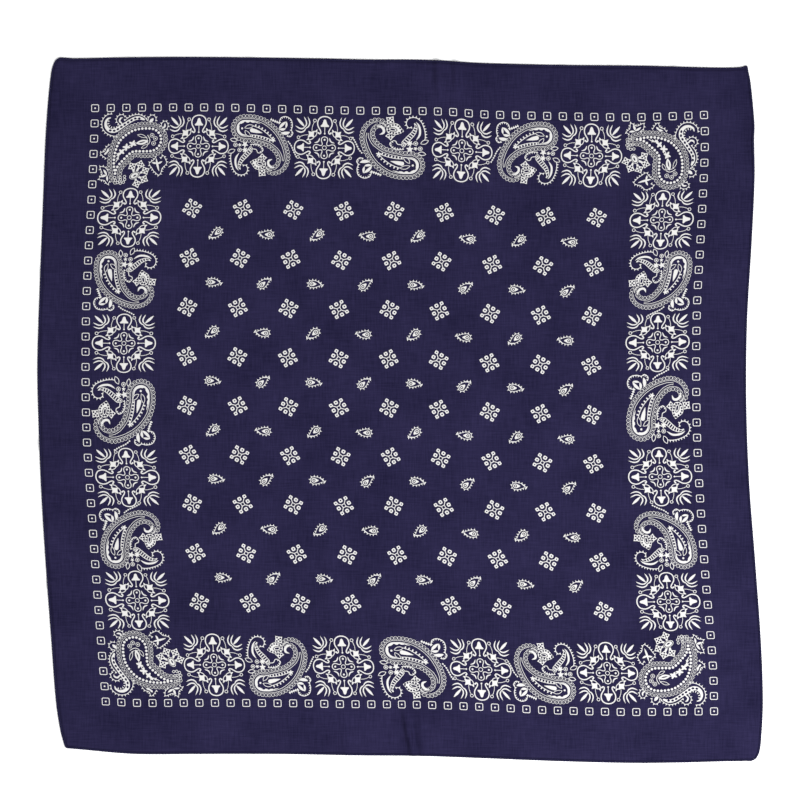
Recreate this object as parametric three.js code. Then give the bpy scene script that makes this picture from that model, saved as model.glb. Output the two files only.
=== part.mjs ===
// A square cotton bandana laid flat: one panel of plain cloth inside four narrow rolled hems.
// Millimetres. +X is to the right, +Y towards the top edge and +Z up, off the surface it lies on.
// The origin is the middle of the cloth's outline, on that surface.

import * as THREE from 'three';

// Cut size of the finished square, along its own threads
const CLOTH_WIDTH = 565;
const CLOTH_HEIGHT = 557;

// The cloth's wall and the rolled hem round it
const PANEL_THICKNESS = 1.0;
const HEM_WIDTH = 2.4;
const HEM_THICKNESS = 1.8;
const HEM_SHOULDER = 0.45;
const SEAM_GAP = 0.35;
const MITRE_GAP = 0.5;

// Spacing of the wall's grid: wide where the cloth lies plain, close over a crease
const PLAIN_PITCH = 29;
const CREASE_PITCH = 3;
const SOFT_PITCH = 6;
const CORNER_LINES = [2, 6, 12];

// Where the four corners lie
const CORNERS = {
  topLeft: { x: -273.8, y: 281.6 },
  topRight: { x: 277.6, y: 275.8 },
  bottomRight: { x: 281.6, y: -280.7 },
  bottomLeft: { x: -267.8, y: -270.2 },
};

// How far each edge bows out past the straight line between its corners.
// `along` runs from the left corner on the top and bottom edges, and from the top corner on the sides.
const TOP_EDGE = [
  { along: 0, out: 0 },
  { along: 3, out: 0.5 },
  { along: 14, out: 0 },
  { along: 50, out: 1.1 },
  { along: 112, out: 2.1 },
  { along: 205, out: 2.0 },
  { along: 246, out: 1.5 },
  { along: 282, out: 1.8 },
  { along: 306, out: 1.4 },
  { along: 323, out: 0.4 },
  { along: 342, out: -0.4 },
  { along: 402, out: -1.2 },
  { along: 470, out: -1.2 },
  { along: 524, out: -2.0 },
  { along: 545, out: -1.5 },
  { along: 551, out: 0 },
];
const BOTTOM_EDGE = [
  { along: 0, out: 0 },
  { along: 4, out: 0.5 },
  { along: 14, out: 1.2 },
  { along: 44, out: 3.4 },
  { along: 64, out: 3.9 },
  { along: 106, out: 2.9 },
  { along: 172, out: 1.7 },
  { along: 236, out: 1.6 },
  { along: 284, out: 1.1 },
  { along: 332, out: 1.9 },
  { along: 396, out: 3.2 },
  { along: 450, out: 3.5 },
  { along: 492, out: 2.4 },
  { along: 524, out: 0.9 },
  { along: 549, out: 0 },
];
const LEFT_EDGE = [
  { along: 0, out: 0 },
  { along: 2, out: 2.0 },
  { along: 6, out: 4.1 },
  { along: 12, out: 5.6 },
  { along: 34, out: 8.2 },
  { along: 66, out: 10.7 },
  { along: 114, out: 13.1 },
  { along: 178, out: 16.3 },
  { along: 242, out: 19.0 },
  { along: 274, out: 19.0 },
  { along: 338, out: 17.4 },
  { along: 402, out: 14.3 },
  { along: 466, out: 10.3 },
  { along: 514, out: 7.2 },
  { along: 536, out: 4.2 },
  { along: 546, out: 1.9 },
  { along: 552, out: 0 },
];
const RIGHT_EDGE = [
  { along: 0, out: 0 },
  { along: 5, out: 1.0 },
  { along: 12, out: 2.4 },
  { along: 28, out: 4.1 },
  { along: 48, out: 5.5 },
  { along: 60, out: 5.0 },
  { along: 90, out: 5.3 },
  { along: 140, out: 2.7 },
  { along: 204, out: -1.5 },
  { along: 268, out: -2.6 },
  { along: 332, out: -0.8 },
  { along: 396, out: 3.6 },
  { along: 460, out: 7.7 },
  { along: 508, out: 9.0 },
  { along: 538, out: 7.4 },
  { along: 549, out: 5.8 },
  { along: 554, out: 3.0 },
  { along: 556, out: 0 },
];

// The largest creases: soft ridges that lift the cloth, highest halfway along
const CREASES = [
  { name: 'bottom middle', x: 0, y: -219, toX: 15, toY: -296, halfWidth: 5.5, height: 2.6 },
  { name: 'bottom middle, second', x: 14, y: -238, toX: 19, toY: -294, halfWidth: 5, height: 1.3 },
  { name: 'top, first', x: 29, y: 296, toX: 31, toY: 238, halfWidth: 6, height: 1.6 },
  { name: 'top, second', x: 44, y: 296, toX: 46, toY: 240, halfWidth: 6, height: 1.3 },
  { name: 'right edge curl', x: 284, y: 234, toX: 284, toY: 190, halfWidth: 5, height: 2.2 },
  { name: 'left side', x: -306, y: -26, toX: -238, toY: -30, halfWidth: 9, height: 1.5 },
  { name: 'lower left field', x: -61, y: -78, toX: -53, toY: -202, halfWidth: 8, height: 1.2 },
  { name: 'bottom, left of middle', x: -45, y: -234, toX: -41, toY: -290, halfWidth: 6, height: 0.9 },
];

// Bands of closer grid lines, measured from the left edge and from the top edge
const CLOSE_COLUMNS = [
  { from: 230, to: 254, pitch: SOFT_PITCH },
  { from: 278, to: 344, pitch: CREASE_PITCH },
];
const CLOSE_ROWS = [
  { from: 48, to: 90, pitch: 2 * SOFT_PITCH },
  { from: 296, to: 320, pitch: SOFT_PITCH },
];

// Matt navy cotton, a little darker where it is rolled tight
const clothMaterial = new THREE.MeshStandardMaterial({ color: 0x2a2747, roughness: 0.88, metalness: 0 });
const hemMaterial = new THREE.MeshStandardMaterial({ color: 0x1f1d38, roughness: 0.9, metalness: 0 });

// A smooth curve through a table's rows, by cubic Hermite pieces
function smoothEdge(rows) {
  const last = rows.length - 1;
  const length = rows[last].along;
  const slope = (i) => {
    const before = rows[Math.max(i - 1, 0)];
    const after = rows[Math.min(i + 1, last)];
    return (after.out - before.out) / (after.along - before.along);
  };
  return (fraction) => {
    const along = fraction * length;
    let i = 0;
    while (i < last - 1 && rows[i + 1].along <= along) i += 1;
    const span = rows[i + 1].along - rows[i].along;
    const t = (along - rows[i].along) / span;
    const start = rows[i].out * (1 + 2 * t) * (1 - t) ** 2 + slope(i) * span * t * (1 - t) ** 2;
    const end = rows[i + 1].out * t * t * (3 - 2 * t) + slope(i + 1) * span * t * t * (t - 1);
    return start + end;
  };
}

const edge = {
  top: smoothEdge(TOP_EDGE),
  bottom: smoothEdge(BOTTOM_EDGE),
  left: smoothEdge(LEFT_EDGE),
  right: smoothEdge(RIGHT_EDGE),
};

// Lift of the cloth off the surface at a place on it
function lift(x, y) {
  let height = 0;
  for (const crease of CREASES) {
    const runX = crease.toX - crease.x;
    const runY = crease.toY - crease.y;
    const length = Math.hypot(runX, runY);
    const along = ((x - crease.x) * runX + (y - crease.y) * runY) / length ** 2;
    const across = Math.abs((x - crease.x) * runY - (y - crease.y) * runX) / length;
    if (along > 0 && along < 1 && across < crease.halfWidth) {
      const profile = 0.5 + 0.5 * Math.cos((Math.PI * across) / crease.halfWidth);
      height += crease.height * profile * Math.sin(Math.PI * along);
    }
  }
  return height;
}

// Place of a point of the cloth: `s` from the left edge, `t` from the top edge, `z` off the underside
function place(s, t, z) {
  const u = s / CLOTH_WIDTH;
  const v = t / CLOTH_HEIGHT;
  const blend = (axis) =>
    (CORNERS.topLeft[axis] * (1 - u) + CORNERS.topRight[axis] * u) * (1 - v) +
    (CORNERS.bottomLeft[axis] * (1 - u) + CORNERS.bottomRight[axis] * u) * v;
  const x = blend('x') - edge.left(v) * (1 - u) + edge.right(v) * u;
  const y = blend('y') + edge.top(u) * (1 - v) - edge.bottom(u) * v;
  return [x, y, z + lift(x, y)];
}

// Grid lines from one edge to the other, with the closer bands in their places
function gridLines(length, closeBands) {
  const lines = new Set([0, length, ...CORNER_LINES, ...CORNER_LINES.map((line) => length - line)]);
  const outside = (line) => closeBands.every((band) => line < band.from - 2 || line > band.to + 2);
  const count = Math.round(length / PLAIN_PITCH);
  for (let i = 1; i < count; i += 1) {
    const line = (length * i) / count;
    if (outside(line)) lines.add(line);
  }
  for (const band of closeBands) {
    for (let line = band.from; line <= band.to; line += band.pitch) lines.add(line);
  }
  return [...lines].sort((a, b) => a - b);
}

const columnLines = gridLines(CLOTH_WIDTH, CLOSE_COLUMNS);
const rowLines = gridLines(CLOTH_HEIGHT, CLOSE_ROWS);

// One closed body from points and faces of three or four corners, wound to face out
function solid(name, points, faces, material) {
  const index = [];
  for (const [a, b, c, d] of faces) {
    index.push(a, b, c);
    if (d !== undefined) index.push(a, c, d);
  }
  const geometry = new THREE.BufferGeometry();
  geometry.setAttribute('position', new THREE.Float32BufferAttribute(points.flat(), 3));
  geometry.setIndex(index);
  geometry.computeVertexNormals();
  const mesh = new THREE.Mesh(geometry, material);
  mesh.name = name;
  return mesh;
}

// The panel: a wall of even thickness whose top and underside both follow the creases
function panel() {
  const inset = HEM_WIDTH + SEAM_GAP;
  const within = (line, length) => inset + (line / length) * (length - 2 * inset);
  const columns = columnLines.map((line) => within(line, CLOTH_WIDTH));
  const rows = rowLines.map((line) => within(line, CLOTH_HEIGHT));
  const points = [];
  for (const z of [0, PANEL_THICKNESS]) {
    for (const t of rows) {
      for (const s of columns) points.push(place(s, t, z));
    }
  }
  const layer = rows.length * columns.length;
  const at = (row, column, upper) => upper * layer + row * columns.length + column;
  const lastRow = rows.length - 1;
  const lastColumn = columns.length - 1;
  const faces = [];
  for (let r = 0; r < lastRow; r += 1) {
    for (let c = 0; c < lastColumn; c += 1) {
      faces.push([at(r, c, 1), at(r + 1, c, 1), at(r + 1, c + 1, 1), at(r, c + 1, 1)]);
      faces.push([at(r, c, 0), at(r, c + 1, 0), at(r + 1, c + 1, 0), at(r + 1, c, 0)]);
    }
    const n = r + 1;
    faces.push([at(r, 0, 1), at(r, 0, 0), at(n, 0, 0), at(n, 0, 1)]);
    faces.push([at(n, lastColumn, 1), at(n, lastColumn, 0), at(r, lastColumn, 0), at(r, lastColumn, 1)]);
  }
  for (let c = 0; c < lastColumn; c += 1) {
    const n = c + 1;
    faces.push([at(0, n, 1), at(0, n, 0), at(0, c, 0), at(0, c, 1)]);
    faces.push([at(lastRow, c, 1), at(lastRow, c, 0), at(lastRow, n, 0), at(lastRow, n, 1)]);
  }
  return solid('panel', points, faces, clothMaterial);
}

// Section of the rolled hem: `inward` from the cloth's edge and `z` off the underside
const HEM_SECTION = [
  { inward: HEM_SHOULDER, z: 0 },
  { inward: HEM_WIDTH - HEM_SHOULDER, z: 0 },
  { inward: HEM_WIDTH, z: HEM_THICKNESS / 2 },
  { inward: HEM_WIDTH - HEM_SHOULDER, z: HEM_THICKNESS },
  { inward: HEM_SHOULDER, z: HEM_THICKNESS },
  { inward: 0, z: HEM_THICKNESS / 2 },
];

// A hem: the section carried along one edge, with its ends mitred to the next hems.
// `onCloth` turns a distance along the edge and inward from it into a place on the cloth, and
// `turned` says that this pair of directions is left-handed, so the faces are wound the other way.
function hem(name, lines, length, onCloth, turned) {
  const sides = HEM_SECTION.length;
  const points = [];
  for (const line of lines) {
    for (const { inward, z } of HEM_SECTION) {
      const end = inward + MITRE_GAP;
      const along = end + (line / length) * (length - 2 * end);
      const [s, t] = onCloth(along, inward);
      points.push(place(s, t, z));
    }
  }
  const faces = [];
  const lastRing = (lines.length - 1) * sides;
  for (let ring = 0; ring < lastRing; ring += sides) {
    for (let i = 0; i < sides; i += 1) {
      const next = (i + 1) % sides;
      faces.push([ring + i, ring + next, ring + sides + next, ring + sides + i]);
    }
  }
  for (let i = 1; i < sides - 1; i += 1) {
    faces.push([0, i + 1, i]);
    faces.push([lastRing, lastRing + i, lastRing + i + 1]);
  }
  const wound = turned ? faces.map((face) => [...face].reverse()) : faces;
  return solid(name, points, wound, hemMaterial);
}

const bandana = new THREE.Group();
bandana.add(
  panel(),
  hem('hem_top', columnLines, CLOTH_WIDTH, (along, inward) => [along, inward], true),
  hem('hem_bottom', columnLines, CLOTH_WIDTH, (along, inward) => [along, CLOTH_HEIGHT - inward], false),
  hem('hem_left', rowLines, CLOTH_HEIGHT, (along, inward) => [inward, along], false),
  hem('hem_right', rowLines, CLOTH_HEIGHT, (along, inward) => [CLOTH_WIDTH - inward, along], true),
);

export default bandana;
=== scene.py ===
"""A square navy cotton bandana with a white paisley print, laid flat and seen from straight above.

Lengths are in millimetres up to the meshes, which are in metres. The cloth's own directions are
`s`, from its left edge, and `t`, from its top edge. A flat drawing uses complex numbers, x + iy in
millimetres, with x to the right and y down the page.
"""
import logging
import math
from dataclasses import dataclass, field
from enum import Enum
from typing import Callable, Iterable, Sequence

import bpy
import numpy as np
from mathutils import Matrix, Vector, geometry


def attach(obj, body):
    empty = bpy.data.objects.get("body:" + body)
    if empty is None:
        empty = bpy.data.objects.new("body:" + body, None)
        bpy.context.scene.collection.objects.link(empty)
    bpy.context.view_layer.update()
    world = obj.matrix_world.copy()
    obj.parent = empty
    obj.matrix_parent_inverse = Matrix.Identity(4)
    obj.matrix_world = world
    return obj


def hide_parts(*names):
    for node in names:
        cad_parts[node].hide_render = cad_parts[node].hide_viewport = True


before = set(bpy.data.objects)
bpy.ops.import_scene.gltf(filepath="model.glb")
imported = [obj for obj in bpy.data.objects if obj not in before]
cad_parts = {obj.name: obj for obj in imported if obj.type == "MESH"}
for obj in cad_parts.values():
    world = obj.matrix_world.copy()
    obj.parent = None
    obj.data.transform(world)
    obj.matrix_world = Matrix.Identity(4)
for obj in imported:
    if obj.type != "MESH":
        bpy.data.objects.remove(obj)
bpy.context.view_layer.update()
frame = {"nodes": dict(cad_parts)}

log = logging.getLogger("bandana")
MM = 0.001
Path = np.ndarray
Rows = Sequence[Sequence[float]]
WHOLE = 1.0 + 0.0j


# Curves

def hermite(at: np.ndarray, rows: np.ndarray, place: np.ndarray) -> np.ndarray:
    """Smooth values between the rows of a table, by cubic Hermite pieces.

    Args:
        at: where each row stands, rising.
        rows: one row of values for each.
        place: where the values are wanted.

    Returns:
        One row of values for each place.
    """
    ends = np.clip(np.arange(len(at))[:, None] + np.array([-1, 1]), 0, len(at) - 1)
    slope = (rows[ends[:, 1]] - rows[ends[:, 0]]) / (at[ends[:, 1]] - at[ends[:, 0]])[:, None]
    i = np.clip(np.searchsorted(at, place, side="right") - 1, 0, len(at) - 2)
    span = (at[i + 1] - at[i])[:, None]
    t = (place - at[i])[:, None] / span
    start = rows[i] * (1 + 2 * t) * (1 - t) ** 2 + slope[i] * span * t * (1 - t) ** 2
    end = rows[i + 1] * t * t * (3 - 2 * t) + slope[i + 1] * span * t * t * (t - 1)
    return start + end


def measured(path: Path) -> np.ndarray:
    """Distance along a path to each of its points."""
    return np.concatenate([[0.0], np.cumsum(np.abs(np.diff(path)))])


def smooth(rows: Rows, step: float = 0.6) -> np.ndarray:
    """A smooth curve through a few rows.

    Args:
        rows: x, y and any further values, such as a half width.
        step: distance between the curve's points.

    Returns:
        Rows along the curve, evenly spaced.
    """
    table = np.array(rows, float)
    at = measured(table[:, 0] + 1j * table[:, 1])
    return hermite(at, table, np.linspace(0, at[-1], max(int(at[-1] / step), 3) + 1))


def line(*rows: Sequence[float], step: float = 0.6) -> Path:
    """A smooth path through a few points."""
    curve = smooth(rows, step)
    return curve[:, 0] + 1j * curve[:, 1]


def heading(path: Path) -> Path:
    """Direction of travel at each point of a path, as unit numbers."""
    along = np.gradient(path)
    return along / np.maximum(np.abs(along), 1e-9)


def stations(path: Path, pitch: float, margin: float = 0.0) -> tuple[Path, Path]:
    """Even stations along a path.

    Args:
        path: the path.
        pitch: distance between stations, fitted to a whole number of them.
        margin: length left free at both ends.

    Returns:
        The stations' places, and the path's heading at each.
    """
    run = measured(path)
    count = max(int(round((run[-1] - 2 * margin) / pitch)), 1)
    at = np.linspace(margin, run[-1] - margin, count + 1)
    turn = heading(path)
    return np.interp(at, run, path), np.interp(at, run, turn)


# Drawing

class Ink(Enum):
    """What a shape leaves on the cloth."""

    WHITE = "white"
    BARE = "bare"


class Tip(Enum):
    """How a stroke ends."""

    ROUND = "round"
    POINT = "point"
    FLAT = "flat"


@dataclass(frozen=True)
class Body:
    """A drop with a round head and a curved tail.

    Attributes:
        rows: x, y and half width down its spine, from the head's centre to the tail's tip.
    """

    rows: Rows

    def sides(self, inset: float = 0.0, least: float = 0.02) -> tuple[Path, Path]:
        """Both edges from the back of the head towards the tip, moved in by the inset.

        Args:
            inset: how far in they are.
            least: the half width where they end.
        """
        table = smooth(self.rows, 0.7)
        spine, half = table[:, 0] + 1j * table[:, 1], table[:, 2] - inset
        gone = np.flatnonzero(half <= least)
        last = gone[0] if len(gone) else len(half)
        spine, half, turn = spine[:last], half[:last], heading(spine)[:last]
        cap = np.exp(1j * np.linspace(math.pi, math.pi / 2, 9)[:-1])
        edges = []
        for side in (1, -1):
            head = spine[0] + half[0] * turn[0] * (cap if side > 0 else cap.conj())
            edges.append(np.concatenate([head, spine + side * 1j * turn * half]))
        return edges[0], edges[1]

    def outline(self, inset: float = 0.0, least: float = 0.02) -> Path:
        """The whole edge as one path, from the tip round the head and back to the tip."""
        one, other = self.sides(inset, least)
        return np.concatenate([one[::-1], other[1:]])


@dataclass
class Drawing:
    """A flat drawing: shapes laid one over another, each of white ink or of bare cloth."""

    faces: list[Path] = field(default_factory=list)
    inks: list[Ink] = field(default_factory=list)

    def face(self, points: Path, ink: Ink = Ink.WHITE) -> None:
        """Lay one convex face."""
        area = np.imag(np.sum(np.conj(points) * np.roll(points, -1))) / 2
        if abs(area) > 1e-4:
            self.faces.append(points if area > 0 else points[::-1])
            self.inks.append(ink)

    def strip(self, one: Path, other: Path, ink: Ink = Ink.WHITE) -> None:
        """Lay the band between two paths with as many points each."""
        for i in range(len(one) - 1):
            self.face(np.array([one[i], one[i + 1], other[i + 1]]), ink)
            self.face(np.array([one[i], other[i + 1], other[i]]), ink)

    def stroke(self, path: Path, width: float, ink: Ink = Ink.WHITE, tip: Tip = Tip.ROUND) -> None:
        """Lay a line of the pen along a path.

        Args:
            path: the line's middle.
            width: its width, the widest where it swells.
            ink: what it leaves.
            tip: how both ends finish.
        """
        run = measured(path)
        radius = min(width / 2, run[-1] / 2)
        if tip is Tip.ROUND:
            ends = radius * np.array([0.0, 0.12, 0.5, 1.0])
            at = np.unique(np.concatenate([run[(run > radius) & (run < run[-1] - radius)], ends,
                                           run[-1] - ends]))
            path, run = np.interp(at, run, path), at
        near = np.minimum(run, run[-1] - run)
        half = {
            Tip.ROUND: radius * np.sqrt(np.clip(1 - np.clip(1 - near / radius, 0, 1) ** 2, 0, 1)),
            Tip.POINT: width / 2 * (1 - (1 - np.clip(near / run[-1] / 0.38, 0, 1)) ** 2),
            Tip.FLAT: np.full(len(run), width / 2),
        }[tip]
        side = 1j * heading(path) * half
        self.strip(path + side, path - side, ink)

    def disc(self, centre: complex, radius: float, ink: Ink = Ink.WHITE, turn: float = 0.0,
             squash: float = 1.0) -> None:
        """Lay a round, or an oval turned clockwise by `turn` degrees and squashed across."""
        sides = max(6, 2 * round(2 + 2.6 * radius))
        round_it = np.exp(2j * np.pi * np.arange(sides) / sides)
        oval = radius * (round_it.real + 1j * squash * round_it.imag)
        self.face(centre + oval * np.exp(1j * math.radians(turn)), ink)

    def ring(self, centre: complex, radius: float, width: float) -> None:
        """Lay a ring of white round bare cloth."""
        self.disc(centre, radius)
        self.disc(centre, radius - width, Ink.BARE)

    def fill(self, body: Body, inset: float = 0.0, ink: Ink = Ink.WHITE) -> None:
        """Lay a drop, moved in from its edge by the inset."""
        self.strip(*body.sides(inset), ink)

    def leaf(self, start: complex, end: complex, half: float, bend: float = 0.0, inset: float = 0.0,
             ink: Ink = Ink.WHITE) -> None:
        """Lay a leaf pointed at both ends.

        Args:
            start: one tip.
            end: the other tip.
            half: half its width.
            bend: how far its middle swings to the right of the way from start to end.
            inset: how far its edge is moved in.
            ink: what it leaves.
        """
        t = np.linspace(0, 1, max(int(abs(end - start) / 0.7), 6) + 1)
        along = (end - start) / abs(end - start)
        middle = start + (end - start) * t + 1j * along * bend * 4 * t * (1 - t)
        width = half * np.sin(np.pi * t) ** 0.8 - inset
        side = 1j * heading(middle) * np.maximum(width, 0)
        kept = width > 0
        if kept.sum() > 2 or inset == 0:
            kept = kept if inset else np.ones_like(kept)
            self.strip((middle + side)[kept], (middle - side)[kept], ink)

    def open_leaf(self, start: complex, end: complex, half: float, bend: float = 0.0,
                  pen: float = 0.6) -> None:
        """Lay a leaf drawn as an outline."""
        self.leaf(start, end, half, bend)
        self.leaf(start, end, half, bend, pen, Ink.BARE)

    def dotted_patch(self, centre: complex, half: float, turn: float) -> None:
        """Lay a squarish white petal with a few bare dots in it.

        Args:
            centre: its middle.
            half: half its side.
            turn: how far it is turned clockwise, in degrees.
        """
        way = half * np.exp(1j * math.radians(turn))
        corners = np.array([1j ** k * way * point for k in range(4)
                            for point in (1.08 + 1.08j, -0.05 + 0.94j)])
        for i in range(8):
            self.face(centre + np.array([0j, corners[i], corners[(i + 1) % 8]]))
        for place in (0.52 + 0.48j, -0.5 + 0.53j, -0.48 - 0.52j, 0.53 - 0.46j, 0j):
            self.disc(centre + way * place, 0.74, Ink.BARE)

    def beads(self, path: Path, radius: float, pitch: float, ink: Ink = Ink.WHITE) -> None:
        """Lay a row of dots along a path."""
        for place in stations(path, pitch)[0]:
            self.disc(place, radius, ink)

    def rings(self, path: Path, radius: float, width: float, pitch: float, dot: float = 0.0) -> None:
        """Lay a row of rings along a path, each with a dot in it if `dot` gives its radius."""
        places = stations(path, pitch)[0]
        for place in places:
            self.disc(place, radius)
        for place in places:
            self.disc(place, radius - width, Ink.BARE)
        for place in places if dot else ():
            self.disc(place, dot)

    def spikes(self, path: Path, length: float, side: float, base: float = 1.1, pitch: float = 1.9) -> None:
        """Lay small spikes along a path, on its right side, or on its left where `side` is -1."""
        for place, turn in zip(*stations(path, pitch, pitch / 3)):
            tip = place + side * 1j * turn * length
            self.face(np.array([place - turn * base / 2, place + turn * base / 2, tip]))

    def ticks(self, path: Path, length: float, side: float, width: float = 0.75, pitch: float = 2.0) -> None:
        """Lay short bars that stand on a path, on its right side, or on its left where `side` is -1."""
        for place, turn in zip(*stations(path, pitch, pitch / 2)):
            out, half = side * 1j * turn * length, turn * width / 2
            self.face(np.array([place - half, place + half, place + half + out, place - half + out]))

    def spiked_line(self, path: Path, side: float, pen: float = 0.55, length: float = 1.35,
                    pitch: float = 1.9) -> None:
        """Lay a fine line with spikes on one side."""
        self.stroke(path, pen)
        self.spikes(path, length, side, 1.2, pitch)

    def star(self, centre: complex, radius: float, points: int = 5, turn: float = 0.0) -> None:
        """Lay a small star of pointed strokes that meet in the middle."""
        for k in range(points):
            arm = radius * np.exp(1j * (math.radians(turn) + 2 * math.pi * k / points))
            self.leaf(centre - arm * 0.25, centre + arm, radius * 0.24)

    def include(self, other: "Drawing", move: complex = 0j, turn: complex = WHOLE,
                mirror: bool = False) -> None:
        """Lay another drawing over this one.

        Args:
            other: the drawing to lay.
            move: where its origin goes.
            turn: the number that its points are multiplied by, for its size and turn.
            mirror: whether it is turned left to right first.
        """
        for points, ink in zip(other.faces, other.inks):
            self.face(move + turn * (-points.conj() if mirror else points), ink)

    def cut(self) -> tuple[Path, np.ndarray]:
        """Resolve the layers into one flat sheet of ink.

        Returns:
            The points, and the triangles that are white once every shape is laid.
        """
        corners = [Vector((p.real, p.imag)) for p in np.concatenate(self.faces)]
        edges, first = [], 0
        for points in self.faces:
            edges += [(first + i, first + (i + 1) % len(points)) for i in range(len(points))]
            first += len(points)
        made, _, triangles, *_ = geometry.delaunay_2d_cdt(corners, edges, [], 0, 1e-4)
        flat, triangles = np.array([complex(*point) for point in made]), np.array(triangles)
        a, b, c = flat[triangles].T
        area = np.imag((b - a).conj() * (c - a)) / 2
        triangles = np.where(area[:, None] > 0, triangles, triangles[:, ::-1])[np.abs(area) > 1e-5]
        triangles = triangles[self.inked(flat[triangles].mean(1))]
        used, index = np.unique(triangles, return_inverse=True)
        return flat[used], index.reshape(-1, 3)

    def inked(self, places: Path) -> np.ndarray:
        """Whether each place is white once every shape is laid."""
        order = np.argsort(places.real)
        sorted_x = places.real[order]
        white = np.zeros(len(places), bool)
        for points, ink in zip(self.faces, self.inks):
            first, last = np.searchsorted(sorted_x, [points.real.min(), points.real.max()])
            near = order[first:last]
            near = near[(places.imag[near] > points.imag.min()) & (places.imag[near] < points.imag.max())]
            side = (np.roll(points, -1) - points)[:, None].conj() * (places[near][None, :] - points[:, None])
            white[near[(side.imag > 0).all(0)]] = ink is Ink.WHITE
        return white


# Motifs

@dataclass(frozen=True)
class SquareLink:
    """One small square of the ring round the print: a rounded outline with a dot in it."""

    side: float = 6.2
    pen: float = 0.58
    corner: float = 1.0
    dot: float = 0.72

    def rounded(self, inset: float) -> Path:
        """The square's edge, moved in by the inset."""
        half, radius = self.side / 2 - inset, max(self.corner - inset, 0.25)
        quarter = (half - radius) * (1 + 1j) + radius * np.exp(1j * np.linspace(0, math.pi / 2, 4))
        whole = np.concatenate([*(1j ** k * quarter for k in range(4)), quarter[:1]])
        return stations(whole, 0.9)[0][:-1]

    def draw(self) -> Drawing:
        """Draw the square round its own middle."""
        drawing = Drawing()
        drawing.face(self.rounded(0))
        drawing.face(self.rounded(self.pen), Ink.BARE)
        drawing.disc(0j, self.dot)
        return drawing


@dataclass
class FieldTile:
    """A tile of the field: eight small squares round a ninth that fine lines join to the corners."""

    centre: SquareLink = SquareLink(3.2, 0.55, 0.5)
    edge: SquareLink = SquareLink(3.05, 0.88, 0.75)
    corner: SquareLink = SquareLink(2.8, 0.82, 0.5)
    edge_reach: float = 4.72
    corner_reach: float = 4.55
    line: float = 0.62

    def draw(self) -> Drawing:
        """Draw the tile round its own middle, with its sides level."""
        drawing = Drawing()
        for k in range(4):
            way = 1j ** k * (1 + 1j)
            drawing.stroke(way * np.array([0.2, 1.0, self.corner_reach - 1.0]), self.line, tip=Tip.FLAT)
        for square, places in (
            (self.centre, (0j,)),
            (self.edge, [1j ** k * self.edge_reach for k in range(4)]),
            (self.corner, [1j ** k * self.corner_reach * (1 + 1j) for k in range(4)]),
        ):
            for place in places:
                drawing.face(place + square.rounded(0))
                drawing.face(place + square.rounded(square.pen), Ink.BARE)
        return drawing


@dataclass
class FieldSprig:
    """A tiny spiked paisley of the field, its tail hooked to the lower left."""

    body: Body = Body((
        (1.7, -1.3, 3.2), (0.2, 0.2, 3.0), (-1.3, 1.6, 2.4), (-2.4, 2.5, 1.75), (-3.4, 3.1, 1.1),
        (-4.6, 3.5, 0.55), (-5.6, 3.6, 0.25)))
    drop: Body = Body(((1.9, -1.3, 1.9), (1.0, -0.5, 1.6), (0.1, 0.3, 1.0), (-0.7, 1.2, 0.35)))
    pen: float = 0.42

    def draw(self) -> Drawing:
        """Draw the sprig round its own middle."""
        drawing = Drawing()
        drawing.spikes(self.body.outline(0.1), 1.5, -1, 1.2, 2.2)
        drawing.fill(self.body)
        drawing.fill(self.body, self.pen, Ink.BARE)
        drawing.stroke(line((-4.0, 3.5), (-2.6, 3.7), (-0.4, 3.5)), 0.8)
        drawing.fill(self.drop)
        drawing.disc(1.9 - 1.3j, 1.25, Ink.BARE)
        drawing.disc(1.9 - 1.3j, 0.6)
        return drawing


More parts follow.
